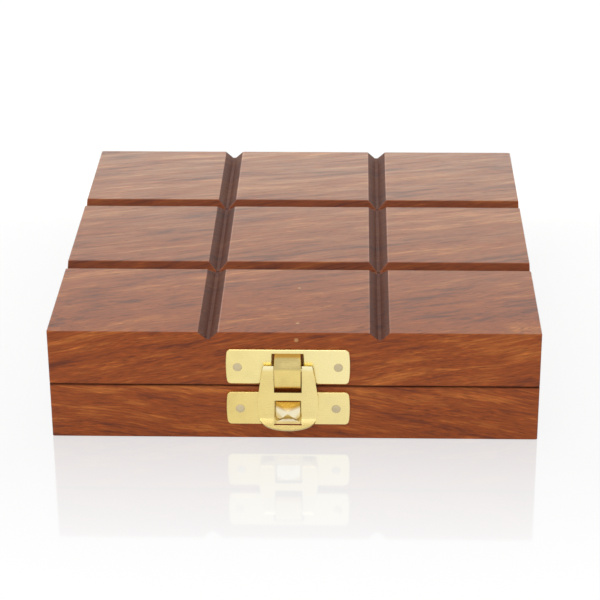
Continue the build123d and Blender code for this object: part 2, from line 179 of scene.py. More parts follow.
class ClaspSettings(bpy.types.PropertyGroup):
    """Sizes and colour of the brass clasp"""
    sheet: length("Sheet", "Thickness of the plates", 0.8)
    corner: length("Corner", "Rounding of a plate's corners", 1.0)
    end_bow: length("End bow", "How far a plate's ends bow out", 0.6)
    rim: length("Rim", "Rounding of a plate's rim", 0.5)
    tongue_width: length("Tongue width", "Width of the sprung tongue", 6.88)
    tongue_gap: length("Tongue gap", "Slot on each side of the tongue", 0.33)
    tongue_shift: length("Tongue shift", "How far the tongue sits left of the middle", 0.04)
    tongue_root: length("Tongue root", "Plate left above the tongue", 1.35)
    bar_drop: length("Bar drop", "Distance from the plate's top down to the hasp's bar", 5.0)
    bar_reach: length("Bar reach", "Distance from the bar's axis up to the hasp's top", 0.8)
    bar_radius: length("Bar radius", "Radius of the hasp's pivot bar", 0.55)
    bar_out: length("Bar out", "Distance of the bar's axis from the wood", 1.8)
    hasp_sheet: length("Hasp sheet", "Thickness of the hasp", 0.9)
    hasp_top: length("Hasp top", "Width of the hasp at its bar", 12.5)
    hasp_foot: length("Hasp foot", "Width of the hasp at its lip", 14.6)
    window: length("Window", "Width of the hasp's windows", 7.15)
    bridge_drop: length("Bridge drop", "Distance from the bar down to the bridge", 6.55)
    bridge: length("Bridge", "Height of the bridge between the windows", 2.35)
    catch_window: length("Catch window", "Height of the window for the catch", 6.7)
    lip_crease: length("Lip crease", "Where the lip bends, above the window's bottom", 1.3)
    lip_drop: length("Lip drop", "Height of the lip below the window", 1.05)
    catch_width: length("Catch width", "Width of the catch", 6.6)
    catch_gap: length("Catch gap", "Space above and below the catch in its window", 0.25)
    catch_shoulder: length("Catch shoulder", "Height of the catch's upright sides", 1.1)
    catch_peak: share("Catch peak", "Height of the catch's peak in its window", 0.68)
    nail_radius: length("Nail radius", "Radius of a nail's head", 1.2)
    brass: colour("Brass", "Colour of the polished brass", (0.920, 0.765, 0.325))
    # Painted reflection: the brass grows towards this paler colour on its right side
    pale_brass: colour("Pale brass", "Colour of the brass where its plating is thin", (0.960, 0.830, 0.420))
    rich_brass: colour("Rich brass", "Colour of the lower plate and the hasp", (0.850, 0.660, 0.235))
    steel: colour("Steel", "Colour of the nails", (0.680, 0.570, 0.350))
    polish: share("Brass roughness", "Roughness of the polished brass", 0.27)


class HingeSettings(bpy.types.PropertyGroup):
    """Sizes of the hinges at the back"""
    sheet: length("Leaf sheet", "Thickness of a leaf", 0.8)
    knuckle: length("Knuckle radius", "Outside radius of a knuckle", 1.5)
    knuckle_gap: length("Knuckle gap", "Space between two knuckles", 0.1)
    pin: length("Pin radius", "Radius of the pin", 0.75)
    to_wood: length("Knuckle to wood", "Space between knuckle and wood", 0.1)
    rim: length("Rim", "Rounding of a leaf's rim", 0.2)
    nail_spacing: length("Nail spacing", "Distance between a leaf's nails", 12.0)
    nail_height: length("Nail height", "Distance of the nails from the seam", 6.2)


class PieceSettings(bpy.types.PropertyGroup):
    """Sizes of the pegs, noughts and crosses"""
    peg_radius: length("Peg radius", "Radius of a peg's shank", 1.98)
    peg_head: length("Peg head", "Radius of a peg's head", 3.2)
    peg_neck: length("Peg neck", "Height where the head begins", 9.4)
    nought_hole: length("Nought hole", "Diameter of the hole in a nought", 12.4)
    cross_bar: length("Cross bar", "Width of a cross's bars", 7.6)
    arris: length("Arris", "Rounding of the edges", 0.6)


class StageSettings(bpy.types.PropertyGroup):
    """Floor, lamps and camera"""
    floor_size: length("Floor size", "Side of the floor", 6000.0)
    mirror_reach: length("Mirror reach", "How far the floor's faint mirror reaches from the box", 70.0)
    mirror: share("Mirror", "Strength of the floor's faint mirror beside the box", 0.26)
    key_power: power("Key lamp", "Power of the large lamp overhead", 3.7)
    fill_power: power("Front lamp", "Power of the lamp in front", 3.4)
    back_power: power("Back lamp", "Power of the low lamp behind", 4.4)
    back_tint: colour("Back lamp tint", "Colour of the low lamp behind", (1.0, 0.955, 0.85))
    world_light: share("Room light", "Strength of the even light of the room", 0.62)


def solid_colour(value):
    """A grey or a colour with full cover, for a colour socket."""
    return (value, value, value, 1.0) if isinstance(value, float) else (*value, 1.0)


def dimmed(tint, amount):
    """A colour at a share of its brightness."""
    return [value * amount for value in tint]


class Nodes:
    """Adds shader nodes to the tree of a material or of the room, and links them."""

    def __init__(self, owner):
        owner.use_nodes = True
        self.tree = owner.node_tree
        self.output = next(node for node in self.tree.nodes if node.bl_idname.startswith("ShaderNodeOutput"))
        self.shader = self.output.inputs["Surface"].links[0].from_node

    def fill(self, node, inputs):
        """Gives a node's sockets their values or links."""
        for key, value in dict(inputs).items():
            if isinstance(value, bpy.types.NodeSocket):
                self.tree.links.new(value, node.inputs[key])
            else:
                node.inputs[key].default_value = value
        return node

    def add(self, kind, inputs=(), **values):
        node = self.tree.nodes.new("ShaderNode" + kind)
        for key, value in values.items():
            setattr(node, key, value)
        return self.fill(node, inputs)

    def math(self, operation, *values):
        return self.add("Math", enumerate(values), operation=operation).outputs[0]

    def place(self):
        """A point's place on the object, in metres."""
        return self.add("TexCoord").outputs["Object"]

    def axis(self, vector, name):
        """One coordinate of a vector."""
        return self.add("SeparateXYZ", {"Vector": vector}).outputs[name]

    def in_millimetres(self, place, name):
        """One coordinate of a place, in millimetres."""
        return self.math("MULTIPLY", self.axis(place, name), METRE)

    def mapped(self, vector, scale, start=(0.0, 0.0, 0.0), turn=(0.0, 0.0, 0.0)):
        return self.add("Mapping", {
            "Vector": vector, "Scale": scale, "Location": start, "Rotation": turn,
        }).outputs[0]

    def noise(self, vector, scale, detail=2.0, roughness=0.5):
        return self.add("TexNoise", {
            "Vector": vector, "Scale": scale, "Detail": detail, "Roughness": roughness,
        }).outputs["Fac"]

    def fibrous(self, vector, along, across, detail=2.0, roughness=0.5, start=(0.0, 0.0, 0.0)):
        """Noise with so many features to the millimetre along and across the grain."""
        return self.noise(self.mapped(vector, (along, across, across), start), 1.0, detail, roughness)

    def ramp(self, factor, *stops):
        """A colour or grey that follows the factor through the stops."""
        node = self.add("ValToRGB", {"Fac": factor})
        elements = node.color_ramp.elements
        while len(elements) < len(stops):
            elements.new(0.5)
        for element, (place, value) in zip(elements, stops):
            element.position = place
            element.color = solid_colour(value)
        return node.outputs["Color"]

    def mix(self, factor, first, second, blend="MIX"):
        """Mixes two colours."""
        inputs = {0: factor, 6: first, 7: second}
        return self.add("Mix", inputs, data_type="RGBA", blend_type=blend).outputs[2]

    def bump(self, height, strength, distance, below=None):
        inputs = {"Height": height, "Strength": strength, "Distance": distance}
        if below is not None:
            inputs["Normal"] = below
        return self.add("Bump", inputs).outputs[0]

    def blend(self, factor, first, second):
        """Mixes two shaders."""
        return self.add("MixShader", {0: factor, 1: first.outputs[0], 2: second.outputs[0]})

    def show(self, shader):
        """Makes a shader the one that is seen."""
        self.fill(self.output, {"Surface": shader.outputs[0]})

    def looked_at(self):
        """One where the camera, a mirror or glass shows this, and nothing where it lights something."""
        path = self.add("LightPath").outputs
        seen = self.math("MAXIMUM", path["Is Camera Ray"], path["Is Glossy Ray"])
        return self.math("MAXIMUM", seen, path["Is Transmission Ray"])


def growth_rings(nodes, grain):
    """The place along the log and the distance from its wavy heart."""
    sway = nodes.fibrous(grain, 0.009, 0.020)
    ripple = nodes.fibrous(grain, 0.035, 0.090, start=(5.0, 3.0, 9.0))

    def wavy(name, amount):
        swayed = nodes.math("MULTIPLY_ADD", sway, amount, nodes.axis(grain, name))
        return nodes.math("MULTIPLY_ADD", ripple, RIPPLE, swayed)

    aside = wavy("Y", SWAY_ASIDE)
    below = nodes.math("ADD", wavy("Z", SWAY_UP), HEART_DEPTH)
    squares = [nodes.math("MULTIPLY", value, value) for value in (aside, below)]
    return nodes.add("CombineXYZ", {
        "X": nodes.axis(grain, "X"),
        "Y": nodes.math("SQRT", nodes.math("ADD", *squares)),
        "Z": nodes.math("MULTIPLY", aside, 0.30),
    }).outputs[0]


def top_haze(nodes, figure, place, streaks, above):
    """Painted light on the faces above a height: a cool cast and a painted sheen, stronger towards the back.
    """
    on_top = nodes.math("GREATER_THAN", nodes.in_millimetres(place, "Z"), above)
    cast = nodes.mix(1.0, figure, solid_colour(TOP_PAINTED_CAST), "MULTIPLY")
    figure = nodes.mix(on_top, figure, cast)
    sheen_share = nodes.ramp(streaks, (0.30, 0.02), (0.50, 0.08), (0.70, 0.17))
    sheen_share = nodes.math("MULTIPLY", sheen_share, on_top)
    towards_back = nodes.math("MULTIPLY_ADD", nodes.axis(place, "Y"), 12.0, 0.70)
    return nodes.mix(nodes.math("MULTIPLY", sheen_share, towards_back), figure, solid_colour(PAINTED_SHEEN))


def filler_speck(nodes, figure, place, spot, radius):
    """A small light spot of wood filler with a soft edge."""
    away = nodes.add("VectorMath", {0: place, 1: [value / METRE for value in spot]}, operation="DISTANCE")
    away = nodes.math("MULTIPLY", away.outputs["Value"], METRE)
    near = nodes.ramp(away, (radius * 0.5, 0.8), (radius, 0.0))
    return nodes.mix(near, figure, solid_colour(FILLER))


def wood_material(name, tints, seed, rise=0.0, veer=0.0, upright=False, roughness=0.35, pores=1.0,
                  painted_shades=(), specks=(), sheen_above=None):
    """Wood whose growth rings, fibres and pores run through the solid."""
    nodes = Nodes(bpy.data.materials.new(name))
    mid, light, dark = tints
    place = nodes.place()
    turn = (0.0, math.radians(90.0), veer) if upright else (0.0, rise, -veer)
    grain = nodes.mapped(place, (METRE,) * 3, seed, turn)
    rings = growth_rings(nodes, grain)
    bands = nodes.fibrous(rings, 0.014, 0.130, 3.0, 0.55)
    streaks = nodes.fibrous(rings, 0.040, 0.520, 3.0, 0.58, (3.0, 1.0, 7.0))
    threads = nodes.fibrous(rings, 0.080, 1.700, 2.0, 0.55, (8.0, 2.0, 3.0))
    fibres = nodes.fibrous(rings, 0.280, 3.000, 2.0, 0.60, (9.0, 4.0, 2.0))
    clouds = nodes.fibrous(grain, 0.030, 0.055, start=(1.0, 8.0, 4.0))
    tone = 0.5
    for layer, weight in ((bands, 0.70), (streaks, 0.85), (threads, 0.60), (clouds, 0.25)):
        tone = nodes.math("MULTIPLY_ADD", nodes.math("SUBTRACT", layer, 0.5), weight, tone)
    figure = nodes.ramp(tone, (0.26, dark), (0.46, mid), (0.56, mid), (0.80, light))
    shade = nodes.ramp(fibres, (0.30, 0.76), (0.48, 0.96), (0.58, 1.04), (0.74, 1.45))
    figure = nodes.mix(1.0, figure, shade, "MULTIPLY")
    pore = nodes.fibrous(rings, 0.300, 3.600, 1.0, 0.40, (2.0, 6.0, 1.0))
    pore = nodes.ramp(pore, (0.63, 0.0), (0.72, 0.50 * pores))
    figure = nodes.mix(pore, figure, solid_colour(dimmed(dark, 0.6)))
    for spot, radius in specks:
        figure = filler_speck(nodes, figure, place, spot, radius)
    smears = nodes.fibrous(grain, 0.12, 0.30, 3.0, 0.60)
    gloss = nodes.math("MULTIPLY_ADD", smears, 0.10, roughness - 0.05)
    gloss = nodes.math("MULTIPLY_ADD", pore, 0.20, gloss)
    # A painted sheen and cool cast on the lid's top
    if sheen_above is not None:
        figure = top_haze(nodes, figure, place, streaks, sheen_above)
    # Painted shade in the grooves and along the seam, where the lacquer is also rougher
    for mask, shading in painted_shades:
        shade_share = mask(nodes, place)
        figure = nodes.mix(nodes.math("MULTIPLY", shade_share, shading), figure, solid_colour(PAINTED_SHADE))
        gloss = nodes.math("MULTIPLY_ADD", shade_share, 0.30, gloss)
    dents = nodes.bump(nodes.math("SUBTRACT", 1.0, pore), 0.30, 0.00005)
    ridges = nodes.bump(fibres, 0.08, 0.00004, dents)
    swell = nodes.fibrous(grain, 0.030, 0.090, 1.0, start=(4.0, 4.0, 4.0))
    nodes.fill(nodes.shader, {
        "Base Color": figure, "Roughness": gloss, "IOR": 1.34,
        "Normal": nodes.bump(swell, 0.06, 0.0004, ridges),
    })


def groove_mask(settings, axis):
    """Where the lid's grooves across one axis are cut, as a mask in a material for painted shade and rougher
    lacquer.
    """
    centre = groove_centre(settings)
    half, floor = mm(settings.groove_width) / 2, mm(settings.groove_floor) / 2
    depth = mm(settings.groove_depth)

    def mask(nodes, place):
        across = nodes.math("ABSOLUTE", nodes.in_millimetres(place, axis))
        away = nodes.math("ABSOLUTE", nodes.math("SUBTRACT", across, centre))
        below = nodes.math("SUBTRACT", BOX_TOP, nodes.in_millimetres(place, "Z"))
        cut = nodes.ramp(nodes.math("DIVIDE", below, depth), (0.01, 0.0), (0.10, 1.0))
        cut = nodes.math("MULTIPLY", cut, nodes.math("LESS_THAN", below, depth + 0.02))
        flank = nodes.math("MULTIPLY_ADD", below, (floor - half) / depth, half + 0.04)
        return nodes.math("MULTIPLY", nodes.math("LESS_THAN", away, flank), cut)

    return mask


def seam_mask(reach):
    """A narrow band on the outer walls, on both sides of the seam, as a mask in a material for painted shade
    and rougher lacquer.
    """
    def mask(nodes, place):
        away = nodes.math("ABSOLUTE", nodes.math("SUBTRACT", nodes.in_millimetres(place, "Z"), SEAM))
        sides = [nodes.math("ABSOLUTE", nodes.axis(place, name)) for name in "XY"]
        outer = nodes.math("GREATER_THAN", nodes.math("MAXIMUM", *sides), (BACK - reach) / METRE)
        near = nodes.ramp(nodes.math("DIVIDE", away, reach), (0.55, 1.0), (1.0, 0.0))
        return nodes.math("MULTIPLY", near, outer)

    return mask


def metal_material(name, tint, roughness, wear, bands=()):
    """Polished sheet metal with fine scratches, soft dullness and bands of another tint, which paint shade,
    highlights and reflections.

    A band is an axis, where it starts and where it is full, and its tint.
    """
    nodes = Nodes(bpy.data.materials.new(name))
    metal = nodes.mapped(nodes.place(), (METRE,) * 3)
    cloud = nodes.noise(metal, 0.22, 3.0, 0.55)
    film = nodes.ramp(cloud, (0.30, dimmed(tint, 1.0 - wear)), (0.65, tint))
    specks = nodes.ramp(nodes.noise(metal, 3.2, 2.0, 0.60), (0.66, 0.0), (0.80, 0.5 * wear))
    film = nodes.mix(specks, film, solid_colour(dimmed(tint, 0.45)))
    for axis, start, full, other in bands:
        from_start = nodes.math("SUBTRACT", nodes.axis(metal, axis), start)
        rise = nodes.ramp(nodes.math("DIVIDE", from_start, full - start), (0.0, 0.0), (1.0, 1.0))
        film = nodes.mix(rise, film, solid_colour(other))
    scratch = nodes.fibrous(metal, 0.35, 7.0)
    worn = nodes.bump(nodes.noise(metal, 0.75), 0.10, 0.00025)
    nodes.fill(nodes.shader, {
        "Base Color": film, "Metallic": 1.0,
        "Roughness": nodes.math("MULTIPLY_ADD", scratch, 0.16, roughness - 0.08),
        "Normal": nodes.bump(scratch, 0.05, 0.00004, worn),
    })


def placed(name, bm):
    """Puts a bmesh into the scene as an object."""
    mesh = bpy.data.meshes.new(name)
    bm.to_mesh(mesh)
    bm.free()
    made = bpy.data.objects.new(name, mesh)
    bpy.context.scene.collection.objects.link(made)
    return made


def finished(name, bm, body, slot, material, nodes=(), sharp=32.0, crisp=False):
    """Turns a bmesh in millimetres into a piece that rides on a body and stands for CAD nodes.

    Edges sharper than so many degrees stay sharp in the shading, and crisp keeps flat faces flat.
    """
    bmesh.ops.remove_doubles(bm, verts=bm.verts, dist=WELD)
    bmesh.ops.recalc_face_normals(bm, faces=bm.faces)
    bmesh.ops.scale(bm, vec=(1 / METRE,) * 3, verts=bm.verts)
    piece = placed(name, bm)
    piece.data.shade_smooth()
    piece.data.set_sharp_from_angle(angle=math.radians(sharp))
    piece.data.materials.append(bpy.data.materials[material])
    if crisp:
        piece.modifiers.new("Shading", "WEIGHTED_NORMAL").keep_sharp = True
    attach(piece, body)
    if nodes:
        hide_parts(*nodes)
    return piece


def thickened(piece, thickness, rim, segments=3):
    """Gives a sheet its thickness on both sides of its surface, and a rounded rim."""
    solid = piece.modifiers.new("Thickness", "SOLIDIFY")
    solid.thickness = thickness / METRE
    solid.offset = 0.0
    solid.use_even_offset = True
    bevel = piece.modifiers.new("Rim", "BEVEL")
    bevel.width = rim / METRE
    bevel.segments = segments
    bevel.limit_method = "ANGLE"
    bevel.angle_limit = math.radians(50.0)


def eased(bm, geom, width, segments, affect="EDGES"):
    """Rounds edges over, or the corners of a flat outline."""
    bmesh.ops.bevel(
        bm, geom=list(geom), offset=width, offset_type="OFFSET", segments=segments, profile=0.5,
        affect=affect, material=-1, clamp_overlap=True,
    )


def rounded_corners(bm, verts, radius, segments):
    """Rounds the corners of a flat outline."""
    eased(bm, verts, radius, segments, "VERTICES")


def moved(bm, vector):
    """Shifts the whole mesh."""
    bmesh.ops.translate(bm, verts=bm.verts, vec=vector)


def rolled(bm, degrees, axis):
    """Turns the whole mesh about one of the axes."""
    bmesh.ops.rotate(bm, verts=bm.verts, matrix=Matrix.Rotation(math.radians(degrees), 3, axis))


def pulled(bm, faces, vector):
    """Extrudes faces by a vector and returns the new vertices."""
    made = bmesh.ops.extrude_face_region(bm, geom=faces)["geom"]
    verts = [item for item in made if isinstance(item, bmesh.types.BMVert)]
    bmesh.ops.translate(bm, vec=vector, verts=verts)
    return verts


def drawn_to(bm, edges, height):
    """Extrudes edges straight to a height and returns the new edges."""
    made = bmesh.ops.extrude_edge_only(bm, edges=edges)["geom"]
    for vert in made:
        if isinstance(vert, bmesh.types.BMVert):
            vert.co.z = height
    return [item for item in made if isinstance(item, bmesh.types.BMEdge)]


def spun(bm, steps):
    """Spins everything about the Z axis, as on a lathe."""
    bmesh.ops.spin(
        bm, geom=list(bm.verts) + list(bm.edges), cent=(0.0, 0.0, 0.0), axis=(0.0, 0.0, 1.0),
        angle=math.tau, steps=steps, use_merge=True, use_duplicate=False,
    )


def turned(bm, profile, steps):
    """Turns a chain of radius and height points about the Z axis."""
    verts = [bm.verts.new((radius, 0.0, height)) for radius, height in profile]
    for pair in zip(verts, verts[1:]):
        bm.edges.new(pair)
    spun(bm, steps)
    bmesh.ops.remove_doubles(bm, verts=bm.verts, dist=WELD)


def curve_through(points, place):
    """A point at a share of a smooth path through the points, evenly spaced by number."""
    last = len(points) - 1
    step = min(int(place * last), last - 1)
    t = place * last - step
    before, after = points[max(step - 1, 0)], points[min(step + 2, last)]
    return [
        0.5 * (2 * b + (c - a) * t + (2 * a - 5 * b + 4 * c - d) * t ** 2
               + (3 * b - a - 3 * c + d) * t ** 3)
        for a, b, c, d in zip(before, points[step], points[step + 1], after)
    ]


def groove_centre(settings):
    """Distance of a groove's middle from the middle of the lid."""
    cell = (2 * HALF_SIDE - 2 * mm(settings.groove_width)) / 3
    return (cell + mm(settings.groove_width)) / 2


def hollow_block(bm, mouth, recess_end, settings):
    """Closes a sheet into a block that has a hollow with round corners."""
    drawn_to(bm, [edge for edge in bm.edges if edge.is_boundary], mouth)
    outer = [edge for edge in bm.edges if edge.is_boundary]
    half = HALF_SIDE - mm(settings.wall)
    opening = bmesh.ops.create_grid(bm, x_segments=1, y_segments=1, size=half)["verts"]
    bmesh.ops.translate(bm, verts=opening, vec=(0.0, 0.0, mouth))
    before = set(bm.edges) - {edge for vert in opening for edge in vert.link_edges}
    rounded_corners(bm, opening, mm(settings.recess_corner), 10)
    inner = [edge for edge in bm.edges if edge not in before]
    cap = list({face for edge in inner for face in edge.link_faces})
    bmesh.ops.delete(bm, geom=cap, context="FACES_ONLY")
    bmesh.ops.triangle_fill(bm, use_beauty=True, edges=outer + inner)
    bmesh.ops.edgeloop_fill(bm, edges=drawn_to(bm, inner, recess_end))
    bmesh.ops.recalc_face_normals(bm, faces=bm.faces)
    reach = HALF_SIDE - TOLERANCE
    upright = [
        edge for edge in bm.edges
        if all(abs(vert.co.x) > reach and abs(vert.co.y) > reach for vert in edge.verts)
        and abs(edge.verts[0].co.z - edge.verts[1].co.z) > 1.0
    ]
    eased(bm, upright, mm(settings.upright_edge), 4)
    bmesh.ops.recalc_face_normals(bm, faces=bm.faces)
    arris = [
        edge for edge in bm.edges
        if len(edge.link_faces) == 2 and edge.is_convex and edge.calc_face_angle() > ARRIS_ANGLE
    ]
    eased(bm, arris, mm(settings.arris), 3)


class DressBaseTray(bpy.types.Operator):
    """Make the lower half of the box"""
    bl_idname = "game_box.base_tray"
    bl_label = "Base tray"

    def execute(self, context):
        settings = context.scene.box_settings
        low, high = cad_box("base_tray")
        bm = bmesh.new()
        bmesh.ops.create_grid(bm, x_segments=1, y_segments=1, size=HALF_SIDE)
        moved(bm, (0.0, 0.0, low.z))
        hollow_block(bm, high.z, low.z + mm(settings.tray_floor), settings)
        finished("base_tray_wood", bm, "base", "rosewood", "rosewood_base", ["base_tray"], crisp=True)
        return {"FINISHED"}


class DressLid(bpy.types.Operator):
    """Make the upper half of the box with its four grooves"""
    bl_idname = "game_box.lid"
    bl_label = "Lid"

    def execute(self, context):
        settings = context.scene.box_settings
        low, high = cad_box("lid")
        centre = groove_centre(settings)
        mouth, floor = mm(settings.groove_width) / 2, mm(settings.groove_floor) / 2
        groove = (-mouth, -floor, floor, mouth)
        lines = [-HALF_SIDE, *(middle + part for middle in (-centre, centre) for part in groove), HALF_SIDE]
        mouths, floors = (1, 4, 5, 8), (2, 3, 6, 7)
        steps = len(lines) - 1
        bm = bmesh.new()
        grid = bmesh.ops.create_grid(bm, x_segments=steps, y_segments=steps, size=1.0)["verts"]
        at = {}
        for vert in grid:
            column, row = (round((value + 1.0) / 2 * steps) for value in vert.co.xy)
            at[column, row] = vert
            sunk = mm(settings.groove_depth) if column in floors or row in floors else 0.0
            vert.co = (lines[column], lines[row], high.z - sunk)
        for column in mouths:
            for row in mouths:
                across, along = (1 if place in (1, 5) else -1 for place in (column, row))
                hip = [at[column, row], at[column + across, row + along]]
                bmesh.ops.connect_verts(bm, verts=hip)
        hollow_block(bm, low.z, high.z - mm(settings.lid_roof), settings)
        finished("lid_wood", bm, "top", "rosewood", "rosewood_lid", ["lid"], crisp=True)
        return {"FINISHED"}


class DressBoard(bpy.types.Operator):
    """Give the drilled solitaire board sharper shading"""
    bl_idname = "game_box.board"
    bl_label = "Solitaire board"

    def execute(self, context):
        bm = bmesh.new()
        bm.from_mesh(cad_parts["solitaire_board"].data)
        bmesh.ops.scale(bm, vec=(METRE,) * 3, verts=bm.verts)
        bmesh.ops.remove_doubles(bm, verts=bm.verts, dist=2 * WELD)
        finished("solitaire_board_wood", bm, "base", "rosewood", "rosewood_board", ["solitaire_board"],
                 crisp=True)
        return {"FINISHED"}


def rim_of(bm, front):
    """The edges round a pulled face's new outline."""
    return [
        edge for edge in bm.edges
        if all(vert in front for vert in edge.verts) and len(edge.link_faces) == 2
    ]


def bowed_plate(bm, node, settings, notch=None):
    """A flat plate with bowed ends, rounded corners and a rounded rim, on the box's front.

    A notch from below is its width and the height of its upper end.
    """
    low, high = cad_box(node)
    half = (high.x - low.x) / 2
    bottom, top = low.z, high.z
    straight, middle = half - mm(settings.end_bow), (bottom + top) / 2
    outline = [(straight, bottom), (half, middle), (straight, top),
               (-straight, top), (-half, middle), (-straight, bottom)]
    corners, bows = (0, 2, 3, 5), (1, 4)
    if notch:
        side, height, shift = notch[0] / 2, notch[1], mm(settings.tongue_shift)
        outline += [(-side - shift, bottom), (-side - shift, height),
                    (side - shift, height), (side - shift, bottom)]
    outline = [Vector((CLASP_CENTRE + x, FRONT, z)) for x, z in outline]
    verts = [bm.verts.new(point) for point in outline]
    bm.faces.new(verts)
    rounded_corners(bm, [verts[index] for index in bows], (top - bottom) * BOW_ROUNDING, 8)
    near = [vert for vert in bm.verts
            if any((vert.co - outline[index]).length < TOLERANCE for index in corners)]
    rounded_corners(bm, near, mm(settings.corner), 5)
    wide = max(vert.co.x for vert in bm.verts) - CLASP_CENTRE
    bmesh.ops.scale(bm, verts=bm.verts, vec=(half / wide, 1.0, 1.0),
                    space=Matrix.Translation((-CLASP_CENTRE, 0.0, 0.0)))
    front = pulled(bm, list(bm.faces), (0.0, -mm(settings.sheet), 0.0))
    eased(bm, rim_of(bm, front), mm(settings.rim), 4)


def tongue_path(settings):
    """The tongue's middle line from its root to its curled end, as distance out and height."""
    low, high = cad_box("clasp_plate")
    middle = mm(settings.sheet) / 2
    crest = FRONT - low.y - middle - 0.02
    root = high.z - mm(settings.tongue_root)
    bar = high.z - mm(settings.bar_drop)
    return [
        (middle, root + 0.95), (middle + 0.02, root + 0.25), (middle + 0.45, root - 0.25),
        (crest - 1.5, bar + 2.35), (crest - 0.25, bar + 1.15), (crest, bar + 0.55),
        (crest - 0.02, bar - 0.6), (crest - 0.08, bar - 2.2), (crest - 0.24, bar - 3.5),
        (crest - 0.62, bar - 4.35), (crest - 1.15, low.z + 0.1),
    ]


class DressClaspPlate(bpy.types.Operator):
    """Make the lid's brass plate with its sprung tongue"""
    bl_idname = "game_box.clasp_plate"
    bl_label = "Clasp plate"

    def execute(self, context):
        settings = context.scene.clasp_settings
        slot_width = mm(settings.tongue_width) + 2 * mm(settings.tongue_gap)
        slot_end = cad_box("clasp_plate")[1].z - mm(settings.tongue_root)
        bm = bmesh.new()
        bowed_plate(bm, "clasp_plate", settings, (slot_width, slot_end))
        finished("lid_plate_brass", bm, "top", "brass", "polished_brass", ["clasp_plate"], crisp=True)
        self.tongue(settings)
        return {"FINISHED"}

    def tongue(self, settings):
        """A bent strip, dished where it passes the bar and a little narrower at both ends."""
        path = tongue_path(settings)
        half = mm(settings.tongue_width) / 2
        dish_place, dish_reach, dish_depth = 0.34, 0.14, 0.42
        root_taper, root_share, end_taper = 0.06, 0.30, 0.07
        bm = bmesh.new()
        bmesh.ops.create_grid(bm, x_segments=12, y_segments=60, size=1.0)
        for vert in bm.verts:
            side, along = vert.co.x, (1.0 - vert.co.y) / 2
            out, height = curve_through(path, along)
            dish = dish_depth * (1.0 - side ** 4) * math.exp(-((along - dish_place) / dish_reach) ** 2)
            narrow = 1.0 - root_taper * max(1.0 - along / root_share, 0.0)
            narrow -= end_taper * max(along - 0.5, 0.0)
            across = side * half * narrow - mm(settings.tongue_shift)
            vert.co = (CLASP_CENTRE + across, FRONT - out + dish, height)
        tongue = finished("lid_plate_tongue", bm, "top", "brass", "tongue_brass")
        thickened(tongue, mm(settings.sheet) * 0.95, 0.34)


def hasp_heights(settings):
    """Heights of the hasp's bar, of its bridge's two edges and of its lower window's bottom."""
    bar = cad_box("clasp_hasp")[1].z - mm(settings.bar_reach)
    bridge_top = bar - mm(settings.bridge_drop)
    bridge_bottom = bridge_top - mm(settings.bridge)
    return bar, bridge_top, bridge_bottom, bridge_bottom - mm(settings.catch_window)


